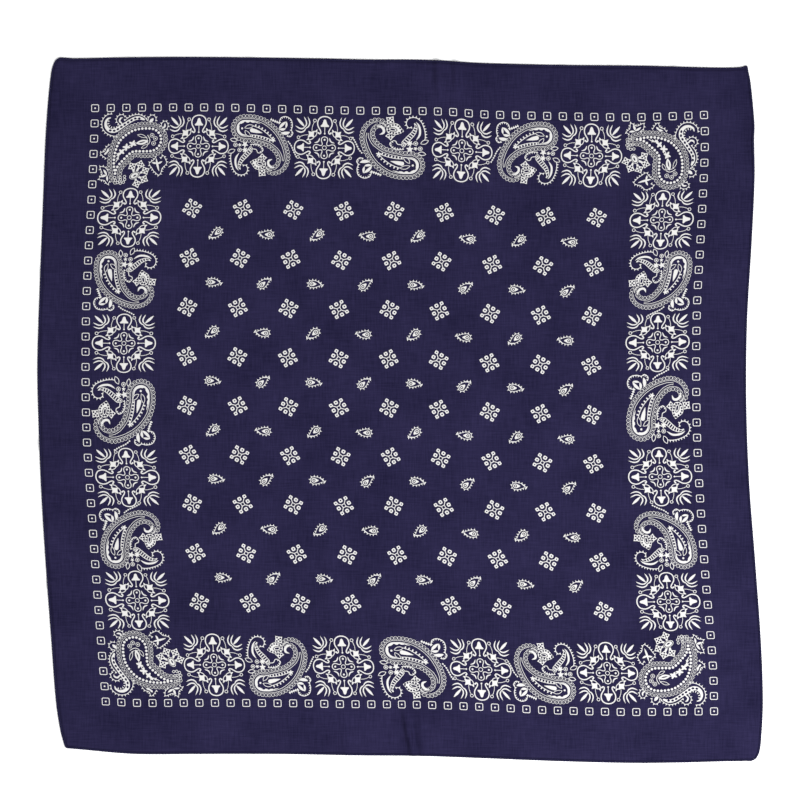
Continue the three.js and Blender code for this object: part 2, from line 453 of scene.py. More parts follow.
@dataclass
class Rosette:
    """The square rosette of the border: one eighth of it, mirrored and turned.

    Attributes:
        narrowing: how much of its width is taken in, beyond `narrow_from` to either side.
    """

    cross_pen: float = 0.62
    loop_pen: float = 0.88
    fine_pen: float = 0.4
    leaf_pen: float = 1.05
    narrowing: float = 0.09
    narrow_from: float = 11.0

    def upright(self, drawing: Drawing) -> None:
        """What stands on the upright axis: a lobe of the cross, a horseshoe, and a bell in it."""
        side = [(1.95, -1.95), (1.75, -3.5), (2.5, -5.7), (2.1, -7.8), (0.0, -8.8)]
        drawing.stroke(line(*side, *[(-x, y) for x, y in side[-2::-1]], step=0.5), self.cross_pen,
                       tip=Tip.FLAT)
        drawing.disc(-6.4j, 0.8)
        loop = [(5.0, -11.9), (4.0, -11.0), (3.1, -11.9), (3.4, -13.6), (4.5, -15.5), (5.5, -17.6),
                (5.7, -20.0), (4.7, -22.8), (2.6, -24.4), (0.0, -24.9)]
        drawing.stroke(line(*loop, *[(-x, y) for x, y in loop[-2::-1]], step=0.5), self.loop_pen)
        for side in (1, -1):
            drawing.disc(complex(4.9 * side, -11.8), 0.72)
        bell = [(0.0, -22.8), (0.9, -22.1), (1.4, -20.4), (2.1, -18.7), (3.3, -17.5), (3.0, -16.7),
                (1.6, -17.1), (0.0, -16.8)]
        edge = line(*bell, step=0.6)
        drawing.strip(edge, -edge.conj())
        drawing.stroke(line((0.0, -17.2), (0.0, -13.0), (0.0, -11.5)), 0.5)
        drawing.disc(-11.3j, 0.7)

    def diagonal(self, drawing: Drawing) -> None:
        """What lies on the diagonal to the upper left: an arc, a flower and a spear leaf."""
        drawing.stroke(line((-3.7, -8.1), (-5.0, -5.0), (-8.1, -3.7), step=0.4), 0.95, tip=Tip.POINT)
        middle = -10.6 - 10.6j
        square = np.array([-2.6 - 2.6j, -0.1 - 1.9j, 2.5 - 2.9j, 1.9 + 0.1j, 2.4 + 2.4j, 0.1 + 1.9j,
                           -2.9 + 2.5j, -1.9 - 0.1j])
        for i in range(8):
            drawing.face(middle + np.array([0j, square[i], square[(i + 1) % 8]]))
        drawing.leaf(-16.4 - 16.4j, -23.4 - 23.4j, 1.05)

    def beside(self, drawing: Drawing) -> None:
        """What lies on the upper side of that diagonal: a cup, a stamen and two leaves."""
        drawing.stroke(line((-8.9, -12.6), (-7.6, -12.9), (-6.3, -14.0), step=0.4), 0.55)
        drawing.stroke(line((-6.2, -14.0), (-6.2, -11.6), (-7.0, -9.6), (-8.4, -8.4), step=0.4), 0.6)
        drawing.leaf(-7.3 - 12.2j, -5.8 - 14.7j, 0.5)
        drawing.stroke(line((-10.1, -13.0), (-9.9, -16.0), (-9.2, -18.6), (-8.4, -20.4)), self.fine_pen)
        drawing.ring(-7.9 - 21.6j, 1.4, 0.46)
        drawing.stroke(line((-17.2, -15.4), (-15.2, -17.6), (-14.9, -20.0), (-15.8, -22.2), (-17.2, -24.6)),
                       self.leaf_pen, tip=Tip.POINT)
        drawing.stroke(line((-16.4, -14.6), (-13.3, -16.6), (-12.1, -19.3), (-12.6, -22.0), (-13.8, -24.6)),
                       self.leaf_pen, tip=Tip.POINT)

    def narrowed(self, points: Path) -> Path:
        """Points of the rosette with its far sides taken in."""
        beyond = np.maximum(np.abs(points.real) - self.narrow_from, 0)
        return points - np.sign(points.real) * self.narrowing * beyond

    def draw(self) -> Drawing:
        """Draw the rosette round its own middle."""
        eighth, quarter, whole, drawing = Drawing(), Drawing(), Drawing(), Drawing()
        self.beside(eighth)
        self.upright(quarter)
        self.diagonal(quarter)
        quarter.include(eighth)
        quarter.include(eighth, turn=-1j, mirror=True)
        for k in range(4):
            whole.include(quarter, turn=1j ** k)
        whole.ring(0j, 1.8, 0.46)
        for points, ink in zip(whole.faces, whole.inks):
            drawing.face(self.narrowed(points), ink)
        return drawing


@dataclass
class BandPaisley:
    """The border's paisley: its head up to the left, its tail hooked round to a dotted flower."""

    body: Body = Body((
        (-13.8, -15.2, 11.3), (-8.2, -15.1, 11.3), (-2.6, -13.7, 11.2), (2.9, -11.2, 10.2), (7.9, -7.8, 8.8),
        (12.2, -3.1, 7.4), (15.2, 1.6, 6.3), (17.0, 7.6, 5.6), (15.6, 14.0, 4.9), (11.6, 17.7, 4.3),
        (7.4, 18.0, 3.7), (5.0, 16.8, 3.0)))
    ring: float = 1.45
    ring_pen: float = 0.28
    ring_pitch: float = 2.75

    def band(self, drawing: Drawing) -> None:
        """The scalloped band of rings round the body, and the fine lines inside it."""
        drawing.fill(self.body, self.ring, Ink.BARE)
        drawing.rings(self.body.outline(self.ring), self.ring, self.ring_pen, self.ring_pitch, 0.24)
        drawing.stroke(self.body.outline(3.35, 0.7), 0.3, tip=Tip.FLAT)
        drawing.stroke(self.body.outline(4.8, 0.5), 0.38, tip=Tip.FLAT)

    def heart(self, drawing: Drawing) -> None:
        """What fills the head: a scalloped crescent, and a leaf between two lines with ticks."""
        edge = self.body.outline(5.8)
        back = int(np.argmin(edge.real))
        drawing.stroke(edge[back - 12:back + 24], 1.8, tip=Tip.POINT)
        drawing.beads(self.body.outline(7.3)[back - 11:back + 15], 1.4, 3.6, Ink.BARE)
        drawing.disc(-16.1 - 15.1j, 0.85)
        drawing.fill(Body(((-8.2, -13.8, 1.65), (-4.6, -13.0, 1.3), (0.0, -11.8, 0.1))))
        upper = line((-7.0, -17.3), (-1.4, -15.0), (4.4, -10.8), (8.4, -6.6))
        lower = line((-9.2, -10.1), (-3.9, -9.8), (2.0, -8.5), (7.6, -6.4))
        for path, side in ((upper, -1), (lower, 1)):
            drawing.stroke(path, 0.5)
            drawing.ticks(path, 1.8, side, 0.95, 2.6)
        drawing.open_leaf(-6.8 - 17.3j, -14.3 - 15.4j, 1.6, 0.4, 0.48)
        drawing.open_leaf(-9.0 - 8.9j, -13.8 - 13.8j, 1.6, -0.5, 0.48)
        drawing.star(8.6 - 6.3j, 2.1, 5, 20)

    def tail_flower(self, drawing: Drawing) -> None:
        """The hook and the flower of dotted petals at the end of the tail."""
        drawing.stroke(line((10.4, 16.0), (7.4, 15.2), (5.4, 13.0), (5.6, 10.4), (8.6, 9.0), step=0.5), 1.8,
                       tip=Tip.POINT)
        drawing.stroke(line((8.6, 18.2), (4.8, 17.2), (3.4, 15.0), step=0.5), 0.6)
        drawing.dotted_patch(0.5 + 8.2j, 2.5, 40)
        drawing.dotted_patch(0.7 + 20.2j, 2.5, -8)
        petal = Body(((-0.5, 13.3, 4.0), (-2.2, 13.4, 4.5), (-4.5, 12.6, 3.9), (-6.7, 12.0, 2.3),
                      (-8.9, 11.7, 0.2)))
        drawing.fill(petal, -0.5, Ink.BARE)
        drawing.fill(petal)
        drawing.beads(petal.outline(1.15, 0.4), 0.76, 2.1, Ink.BARE)
        for radius, squash, ink in ((3.4, 0.56, Ink.BARE), (2.8, 0.5, Ink.WHITE), (2.0, 0.4, Ink.BARE)):
            drawing.disc(-1.0 + 13.0j, radius, ink, 12, squash)

    def flower_spray(self, drawing: Drawing) -> None:
        """The spray under the head: flowers, a laddered leaf, and a spiked hook round them."""
        hook = line((-22.4, 2.6), (-24.2, 5.6), (-24.3, 10.0), (-23.3, 14.6), (-21.4, 19.0), (-18.6, 21.7),
                    (-15.3, 22.4), (-12.0, 21.0), (-10.7, 18.1), (-11.4, 15.4), (-13.1, 14.3),
                    (-14.4, 15.4))
        drawing.stroke(hook, 0.55)
        drawing.spikes(hook, 1.7, 1, 1.3, 2.2)
        drawing.open_leaf(-21.0 + 2.0j, -27.0 + 4.8j, 1.8, 0.0, 0.55)
        drawing.stroke(line((-17.7, 4.4), (-20.2, 8.6), (-20.5, 12.6), (-19.4, 16.6), (-17.6, 19.0)), 1.5,
                       tip=Tip.POINT)
        leaf = Body(((-9.6, 2.6, 2.1), (-12.5, 6.2, 2.0), (-16.0, 10.6, 1.7), (-17.6, 15.4, 1.0),
                     (-16.4, 18.0, 0.3)))
        drawing.fill(leaf)
        drawing.fill(leaf, 0.5, Ink.BARE)
        for place, turn in zip(*stations(line((-9.6, 2.6), (-12.5, 6.2), (-16.0, 10.6), (-17.3, 14.0)), 2.1)):
            drawing.stroke(place + 1j * turn * np.linspace(-1.4, 1.4, 3), 0.75, tip=Tip.FLAT)
        curl = line((-9.4, -2.4), (-5.2, -2.6), (-1.0, -1.2), (0.9, 2.0), (-1.2, 4.2))
        drawing.stroke(curl, 0.55)
        drawing.spikes(curl, 1.5, 1, 1.2, 2.1)
        drawing.stroke(line((-7.6, 1.1), (-4.6, 1.6), (-3.2, 4.0), (-1.2, 4.3), step=0.5), 0.6)
        for x, y, size in ((-21.0, -1.8, 1.7), (-9.0, 0.8, 1.6), (-17.6, 2.2, 1.7)):
            drawing.ring(complex(x, y), size, 0.45)
            drawing.disc(complex(x, y), size * 0.4)
        drawing.star(-13.5 - 2.3j, 2.7, 5, 90)
        drawing.disc(-13.5 - 2.4j, 1.1)
        drawing.star(-13.4 + 2.2j, 2.4, 6, 10)
        drawing.star(-17.6 - 1.8j, 1.6, 5, 40)
        drawing.open_leaf(-25.4 - 6.2j, -19.4 - 5.2j, 1.7, 0.0, 0.6)

    def back_sprigs(self, drawing: Drawing) -> None:
        """The sprig behind the neck and the beaded frond down the back."""
        curl = line((13.0, -20.2), (14.4, -24.2), (18.4, -25.4), (22.4, -23.0), (23.5, -18.2),
                    (22.8, -14.6), (24.0, -12.2), (22.0, -9.4), (19.2, -9.8))
        drawing.stroke(curl, 0.6)
        drawing.spikes(curl, 1.5, 1, 1.2, 2.1)
        for end, half, bend in ((18.7 - 21.4j, 1.1, -0.6), (18.4 - 16.0j, 1.0, 0.6)):
            drawing.leaf(13.0 - 15.4j, end, half, bend)
        drawing.leaf(18.7 - 21.6j, 18.2 - 16.0j, 0.8, -0.4)
        drawing.leaf(14.6 - 12.6j, 21.8 - 13.2j, 1.3, 0.8)
        frond = line((6.0, -23.0), (9.8, -21.4), (13.8, -20.0))
        drawing.stroke(frond, 0.8)
        drawing.spikes(frond, 1.4, -1, 1.3, 2.0)
        drawing.spikes(frond, 1.2, 1, 1.3, 2.0)
        down = line((20.6, -5.4), (22.9, -2.4), (25.0, 2.2), (27.2, 6.4))
        drawing.stroke(down, 0.3)
        drawing.beads(down, 0.62, 2.0)

    def draw(self) -> Drawing:
        """Draw the paisley round the middle of its place in the border."""
        drawing = Drawing()
        self.back_sprigs(drawing)
        self.band(drawing)
        self.heart(drawing)
        self.flower_spray(drawing)
        self.tail_flower(drawing)
        return drawing


@dataclass
class CornerPaisley:
    """The corner's paisley: its round end up to the right, its tail down to the left."""

    body: Body = Body((
        (13.1, -5.1, 14.6), (8.0, -5.1, 14.6), (3.0, -4.5, 14.2), (-1.0, -3.0, 13.3), (-4.8, -0.4, 12.3),
        (-8.0, 4.0, 11.0), (-10.6, 9.2, 9.4), (-12.4, 14.0, 7.6), (-13.2, 19.0, 6.0), (-12.8, 24.4, 5.0),
        (-11.0, 28.6, 3.4)))

    def bands(self, drawing: Drawing) -> None:
        """The ringed and lined bands and the row of pearls round the body."""
        drawing.fill(self.body, 1.3, Ink.BARE)
        drawing.rings(self.body.outline(1.35), 1.35, 0.28, 2.7, 0.25)
        drawing.stroke(self.body.outline(3.5, 0.6), 0.28, tip=Tip.FLAT)
        drawing.beads(self.body.outline(5.4), 1.04, 2.8)

    def inner_sprig(self, drawing: Drawing) -> None:
        """The flower on a leafy stem inside the pearls."""
        drawing.stroke(line((2.4, -2.9), (-3.4, 0.0), (-8.4, 4.2), (-11.2, 6.6), (-11.4, 9.6),
                            (-13.0, 12.8)), 0.6)
        for x, y in ((15.0, -8.8), (17.7, -6.2), (16.4, -2.3)):
            drawing.ring(complex(x, y), 1.75, 0.38)
            drawing.disc(complex(x, y), 0.6)
        drawing.stroke(line((11.4, -9.0), (12.9, -6.6), (13.4, -4.0), (12.2, -1.4)), 0.55)
        drawing.stroke(line((10.4, -7.8), (11.4, -5.0), (11.6, -1.8)), 0.4)
        drawing.open_leaf(10.6 - 6.8j, 3.2 - 9.3j, 1.3, 0.3, 0.42)
        drawing.open_leaf(12.0 - 1.6j, 6.5 + 1.6j, 1.3, -0.3, 0.42)
        drawing.leaf(2.4 - 2.4j, 12.2 - 4.4j, 1.9, 0.2)
        drawing.leaf(4.4 - 2.7j, 10.0 - 4.0j, 0.5, 0.1, 0.0, Ink.BARE)
        for place, reach, turn in ((-0.1 - 2.0j, 3.2, 25), (-5.0 + 0.7j, 3.2, 5), (-8.6 + 4.3j, 2.7, 40)):
            for k in range(4):
                arm = reach * np.exp(1j * math.radians(turn + 90 * k))
                drawing.leaf(place - 0.1 * arm, place + arm, 0.85)
        drawing.star(-11.2 + 6.6j, 1.9, 5, 0)
        drawing.star(-11.6 + 9.8j, 1.4, 5, 30)

    def top_frond(self, drawing: Drawing) -> None:
        """The long curled frond over the body's back, with its spiked edge and its small curls."""
        frond = Body(((8.2, -21.6, 0.7), (4.6, -22.8, 1.25), (0.6, -22.2, 1.4), (-4.6, -19.2, 1.45),
                      (-9.6, -15.8, 1.6), (-14.4, -12.9, 1.7), (-18.6, -13.0, 1.5), (-21.4, -15.8, 1.2),
                      (-22.0, -19.4, 0.9), (-20.4, -22.4, 0.7),
                      (-18.0, -23.2, 0.3)))
        outer = line((-17.0, -26.2), (-20.6, -25.8), (-23.9, -22.6), (-25.0, -18.2), (-23.6, -13.4),
                     (-19.8, -9.9), (-15.6, -8.4), (-12.0, -8.4))
        drawing.spiked_line(outer, 1, 0.5, 1.7, 2.4)
        upper = line((-7.4, -20.6), (-2.6, -24.2), (3.4, -25.6), (8.0, -24.0), (10.2, -21.4))
        drawing.spiked_line(upper, -1, 0.5, 1.7, 2.4)
        drawing.fill(frond, -0.75, Ink.BARE)
        drawing.fill(frond)
        for place, turn in zip(*stations(line((4.4, -22.4), (0.6, -22.2), (-4.6, -19.1), (-9.6, -15.7),
                                              (-14.4, -12.8), (-18.2, -13.0)), 3.3)):
            drawing.leaf(place - turn * 1.3, place + turn * 1.3, 0.9, 0.0, 0.0, Ink.BARE)
        drawing.spikes(line((-8.4, -18.2), (-12.6, -15.2), (-16.4, -14.6), (-19.0, -15.8), (-20.6, -18.6),
                            (-20.2, -21.4)), 1.7,
                       1, 1.2, 2.3)
        drawing.spiked_line(line((-11.2, -17.6), (-13.6, -20.8), (-12.2, -24.6), (-8.6, -25.6),
                                 (-6.6, -23.4)), -1, 0.45, 1.6, 2.3)
        drawing.stroke(line((-8.6, -18.2), (-11.0, -20.4), (-10.2, -22.8), (-8.4, -23.2), step=0.5), 1.3,
                       tip=Tip.POINT)
        drawing.spiked_line(line((11.2, -20.2), (12.2, -23.6), (15.0, -25.2), (17.6, -22.8), (17.4, -20.0)),
                            -1, 0.45, 1.6, 2.3)
        drawing.leaf(12.4 - 19.4j, 15.6 - 22.6j, 1.2, 0.3)
        drawing.spiked_line(line((21.8, -15.4), (22.6, -18.8), (25.2, -20.2), (27.4, -17.4), (26.4, -13.8),
                                 (23.8, -13.0)),
                            -1, 0.45, 1.6, 2.3)
        drawing.stroke(line((22.6, -14.6), (24.8, -15.8), (24.8, -18.6), step=0.5), 1.3, tip=Tip.POINT)

    def leaf_sprig(self, drawing: Drawing, edge: Rows, veins: Rows) -> None:
        """A small leaf: a spiked edge round solid veins.

        Args:
            drawing: where it is drawn.
            edge: points of the spiked edge, with the spikes to the left of their run.
            veins: start x and y, end x and y, and half width of each vein.
        """
        drawing.spiked_line(line(*edge), -1, 0.45, 1.6, 2.2)
        for x, y, end_x, end_y, half in veins:
            drawing.leaf(complex(x, y), complex(end_x, end_y), half, 0.25)

    def side_sprigs(self, drawing: Drawing) -> None:
        """The three small leaves beside the body."""
        self.leaf_sprig(drawing, ((-20.4, 9.8), (-23.4, 7.8), (-25.4, 5.2), (-22.0, 3.8), (-20.8, 0.6),
                                  (-18.2, -1.4)),
                        ((-22.4, 6.6, -20.4, 4.4, 0.8), (-20.8, 5.8, -19.2, 1.2, 0.75)))
        self.leaf_sprig(drawing, ((-17.0, 27.8), (-18.8, 30.6), (-21.4, 27.6), (-25.6, 26.6), (-23.4, 22.2),
                                  (-25.2, 16.6), (-21.4, 16.8), (-19.0, 19.6)),
                        ((-19.6, 23.6, -22.6, 18.6, 0.8), (-19.8, 23.4, -24.2, 24.8, 0.9),
                         (-19.2, 23.4, -18.8, 28.4, 0.75)))
        self.leaf_sprig(drawing, ((22.4, 10.2), (24.2, 7.6), (26.2, 10.4), (27.2, 14.0), (23.8, 18.0),
                                  (23.2, 20.8), (21.6, 23.4), (18.0, 20.8), (15.8, 17.8), (13.6, 14.0),
                                  (16.8, 11.2), (19.0, 8.2)),
                        ((18.8, 9.4, 21.6, 20.4, 0.8), (19.4, 14.2, 15.6, 13.4, 0.75),
                         (19.4, 14.2, 23.8, 12.2, 0.75)))

    def tail_flower(self, drawing: Drawing) -> None:
        """The fan of dotted petals and the eye at the end of the tail."""
        drawing.rings(line((-13.4, 25.2), (-11.8, 28.8), (-8.6, 29.8), (-5.6, 28.2), (-5.6, 24.4)), 1.2,
                      0.4, 2.5)
        drawing.rings(line((-8.8, 25.2), (-8.6, 27.0)), 1.1, 0.4, 1.9)
        for place, turn in ((0.2 + 16.2j, 12), (6.4 + 14.8j, -32), (10.5 + 19.8j, 18), (9.8 + 26.6j, -20),
                            (4.2 + 30.2j, 28)):
            drawing.leaf(place, 2.4 + 23.4j, 0.8)
            drawing.dotted_patch(place, 2.5, turn)
        for radius, ink in ((4.9, Ink.BARE), (4.3, Ink.WHITE), (3.8, Ink.BARE), (3.1, Ink.WHITE)):
            drawing.disc(2.2 + 23.6j, radius, ink, -28, 0.6)
        drawing.disc(2.4 + 23.8j, 1.5, Ink.BARE, -28, 0.4)

    def draw(self) -> Drawing:
        """Draw the paisley round the middle of its place in the corner."""
        drawing = Drawing()
        self.side_sprigs(drawing)
        self.bands(drawing)
        self.inner_sprig(drawing)
        self.top_frond(drawing)
        self.tail_flower(drawing)
        return drawing


# Cloth

@dataclass(frozen=True)
class Crease:
    """A soft ridge in the cloth, highest halfway along, in the frame's own x and y."""

    x: float
    y: float
    to_x: float
    to_y: float
    half_width: float
    height: float

    def lift(self, x: np.ndarray, y: np.ndarray) -> np.ndarray:
        """How far the ridge lifts the cloth at each place."""
        run_x, run_y = self.to_x - self.x, self.to_y - self.y
        length = math.hypot(run_x, run_y)
        along = ((x - self.x) * run_x + (y - self.y) * run_y) / length ** 2
        across = np.abs((x - self.x) * run_y - (y - self.y) * run_x) / length
        inside = (along > 0) & (along < 1) & (across < self.half_width)
        profile = 0.5 + 0.5 * np.cos(np.pi * across / self.half_width)
        return np.where(inside, self.height * profile * np.sin(np.pi * along), 0.0)


@dataclass(frozen=True)
class Drape:
    """How the square cloth lies: where its corners are, how its edges bow, and its creases.

    Attributes:
        width: the cloth across, along its threads.
        height: the cloth down, along its threads.
        corners: x and y of the corners, from the top left one clockwise.
        top, bottom, left, right: how far along each edge, and how far it bows out there.
        creases: the largest creases. The first five stand higher here than in the solids.
        ripples: finer ones, which only the dressed cloth has.
    """

    width: float = 565.0
    height: float = 557.0
    corners: Rows = ((-273.8, 281.6), (277.6, 275.8), (281.6, -280.7), (-267.8, -270.2))
    top: Rows = (
        (0, 0), (3, 0.5), (14, 0), (50, 1.1), (112, 2.1), (205, 2.0), (246, 1.5), (282, 1.8), (306, 1.4),
        (323, 0.4), (342, -0.4), (402, -1.2), (470, -1.2), (524, -2.0), (545, -1.5), (551, 0))
    bottom: Rows = (
        (0, 0), (4, 0.5), (14, 1.2), (44, 3.4), (64, 3.9), (106, 2.9), (172, 1.7), (236, 1.6), (284, 1.1),
        (332, 1.9), (396, 3.2), (450, 3.5), (492, 2.4), (524, 0.9), (549, 0))
    left: Rows = (
        (0, 0), (2, 2.0), (6, 4.1), (12, 5.6), (34, 8.2), (66, 10.7), (114, 13.1), (178, 16.3), (242, 19.0),
        (274, 19.0), (338, 17.4), (402, 14.3), (466, 10.3), (514, 7.2), (536, 4.2), (546, 1.9), (552, 0))
    right: Rows = (
        (0, 0), (5, 1.0), (12, 2.4), (28, 4.1), (48, 5.5), (60, 5.0), (90, 5.3), (140, 2.7), (204, -1.5),
        (268, -2.6), (332, -0.8), (396, 3.6), (460, 7.7), (508, 9.0), (538, 7.4), (549, 5.8), (554, 3.0),
        (556, 0))
    creases: tuple[Crease, ...] = (
        Crease(2, -236, 13, -287, 4.4, 3.5),
        Crease(15, -240, 20, -288, 6, 1.8),
        Crease(29, 287, 32, 246, 5, 2.7),
        Crease(44, 287, 46, 250, 5, 2.1),
        Crease(280.6, 234, 281.4, 184, 4.2, 3.4),
        Crease(-306, -26, -238, -30, 9, 1.5),
        Crease(-61, -78, -53, -202, 8, 1.2),
        Crease(-45, -234, -41, -290, 6, 0.9),
    )
    ripples: tuple[Crease, ...] = (
        Crease(191, -238, 196, -288, 7, 0.8),
        Crease(-78, 244, -75, 112, 9, 0.55),
        Crease(236, -48, 298, -42, 7, 0.7),
        Crease(232, 92, 300, 86, 8, 0.6),
        Crease(-244, 254, -212, 286, 7, 0.6),
        Crease(-164, -236, -160, -284, 7, 0.6),
        Crease(-112, -246, -118, -290, 6, 0.5),
        Crease(92, -246, 96, -290, 6, 0.5),
        Crease(-300, 112, -240, 108, 8, 0.6),
        Crease(-306, -142, -246, -136, 8, 0.7),
        Crease(-120, 290, -116, 246, 7, 0.5),
        Crease(128, 290, 132, 238, 8, 0.6),
        Crease(218, 288, 222, 244, 7, 0.6),
        Crease(246, -214, 300, -204, 8, 0.6),
        Crease(-30, 60, -22, -40, 10, 0.4),
        Crease(96, 20, 88, -120, 12, 0.4),
    )

    def bow(self, rows: Rows, fraction: np.ndarray) -> np.ndarray:
        """How far an edge bows out at a fraction of its length."""
        table = np.array(rows, float)
        return hermite(table[:, 0], table[:, 1:], fraction * table[-1, 0])[:, 0]

    def lift(self, x: np.ndarray, y: np.ndarray) -> np.ndarray:
        """How far the cloth is off the surface: creases, ripples and a slow unevenness."""
        swell = np.sin(x / 17 + 1.3 * np.sin(y / 41)) * np.sin(y / 23 + 1.1 * np.sin(x / 37))
        height = 0.13 * (1 + swell)
        for crease in (*self.creases, *self.ripples):
            height = height + crease.lift(x, y)
        return height

    def place(self, s: np.ndarray, t: np.ndarray, z: np.ndarray | float = 0.0) -> np.ndarray:
        """Where points of the cloth lie.

        Args:
            s: distance from the left edge.
            t: distance from the top edge.
            z: height off the cloth's underside.

        Returns:
            A row of x, y and z for each point, in millimetres.
        """
        s, t = np.broadcast_arrays(np.asarray(s, float).ravel(), np.asarray(t, float).ravel())
        u, v = (s / self.width)[:, None], (t / self.height)[:, None]
        a, b, c, d = (np.array(corner) for corner in self.corners)
        flat = (a * (1 - u) + b * u) * (1 - v) + (d * (1 - u) + c * u) * v
        u, v = u[:, 0], v[:, 0]
        inside_u, inside_v = np.clip(u, 0, 1), np.clip(v, 0, 1)
        x = flat[:, 0] - self.bow(self.left, inside_v) * (1 - u) + self.bow(self.right, inside_v) * u
        y = flat[:, 1] + self.bow(self.top, inside_u) * (1 - v) - self.bow(self.bottom, inside_u) * v
        return np.column_stack([x, y, z + self.lift(x, y)])


def make_piece(name: str, points: np.ndarray, faces: Iterable[Sequence[int]],
               finish: bpy.types.Material) -> bpy.types.Object:
    """Make one smooth mesh object with a flat UV map seen from above.

    Args:
        name: the piece's name.
        points: x, y and z of each point, in millimetres.
        faces: corners of each face, wound to face out.
        finish: its material.

    Returns:
        The object, at the origin.
    """
    mesh = bpy.data.meshes.new(name)
    mesh.from_pydata((points * MM).tolist(), [], [list(map(int, face)) for face in faces])
    mesh.polygons.foreach_set("use_smooth", [True] * len(mesh.polygons))
    mesh.materials.append(finish)
    low, high = points[:, :2].min(0), points[:, :2].max(0)
    corner = np.empty(len(mesh.loops), int)
    mesh.loops.foreach_get("vertex_index", corner)
    flat = (points[corner, :2] - low) / np.maximum(high - low, 1e-6)
    mesh.uv_layers.new(name="OFBake").data.foreach_set("uv", flat.ravel())
    piece = bpy.data.objects.new(name, mesh)
    bpy.context.scene.collection.objects.link(piece)
    log.info("%s: %d faces", name, len(mesh.polygons))
    return piece


def quads(grid: np.ndarray, beside: np.ndarray) -> np.ndarray:
    """Number the corners of the faces between lines of points and the lines beside them.

    Args:
        grid: the points' numbers, with each line's points along the last axis but one.
        beside: the numbers of the points of the lines beside those.

    Returns:
        A row of four corners for each face.
    """
    a, b = grid[..., :-1, :].ravel(), grid[..., 1:, :].ravel()
    c, d = beside[..., 1:, :].ravel(), beside[..., :-1, :].ravel()
    return np.column_stack([a, b, c, d])


def turned_over(faces: np.ndarray) -> np.ndarray:
    """Wind four-cornered faces the other way round, from the same first corner."""
    return faces[:, [0, 3, 2, 1]]


@dataclass
class ClothPanel:
    """The square of cotton: a thin closed shell that follows every crease."""

    drape: Drape
    finish: bpy.types.Material
    tuck: float = 1.1
    rest: float = 0.06
    thickness: float = 0.5
    pitch: float = 2.9
    fine_pitch: float = 1.2
    fine_columns: tuple[float, float] = (270.0, 345.0)

    def lines(self, length: float, fine: tuple[float, float] | None = None) -> np.ndarray:
        """Grid lines across the cloth, closer over the sharpest creases."""
        ends = [self.tuck, *(fine or ()), length - self.tuck]
        runs = []
        for i, (start, end) in enumerate(zip(ends[:-1], ends[1:])):
            pitch = self.fine_pitch if fine and i == 1 else self.pitch
            runs.append(np.linspace(start, end, int((end - start) / pitch) + 1, endpoint=False))
        return np.concatenate([*runs, [ends[-1]]])

    def build(self) -> bpy.types.Object:
        """Build the panel."""
        s, t = self.lines(self.drape.width, self.fine_columns), self.lines(self.drape.height)
        across, down = np.meshgrid(s, t)
        layers = [self.drape.place(across, down, self.rest + z) for z in (0.0, self.thickness)]
        size = across.size
        grid = np.arange(size).reshape(across.shape)
        face = quads(grid[:, :-1], grid[:, 1:])
        top = face + size
        under = turned_over(face)
        rim = np.concatenate([grid[0, :-1], grid[:-1, -1], grid[-1, :0:-1], grid[:0:-1, 0]])
        after = np.roll(rim, -1)
        edge = np.column_stack([rim, rim + size, after + size, after])
        panel = make_piece("panel_cloth", np.vstack(layers), np.vstack([top, under, edge]), self.finish)
        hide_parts("panel")
        return panel

    def top_height(self) -> float:
        """Height of the top face over the cloth's lift."""
        return self.rest + self.thickness


class Edge(Enum):
    """The four edges, each with how a place along it and in from it lies on the cloth."""

    TOP = "top"
    RIGHT = "right"
    BOTTOM = "bottom"
    LEFT = "left"

    def on_cloth(self, drape: Drape, along: np.ndarray, inward: np.ndarray) -> tuple[np.ndarray, np.ndarray]:
        """Turn a place along and in from the edge into the cloth's own directions.

        Args:
            drape: the cloth.
            along: distance along the edge, clockwise round the cloth.
            inward: distance in from the edge.

        Returns:
            The distances from the left edge and from the top edge.
        """
        return {
            Edge.TOP: (along, inward),
            Edge.RIGHT: (drape.width - inward, along),
            Edge.BOTTOM: (drape.width - along, drape.height - inward),
            Edge.LEFT: (inward, drape.height - along),
        }[self]

    def length(self, drape: Drape) -> float:
        """Length of the edge."""
        return drape.width if self in (Edge.TOP, Edge.BOTTOM) else drape.height


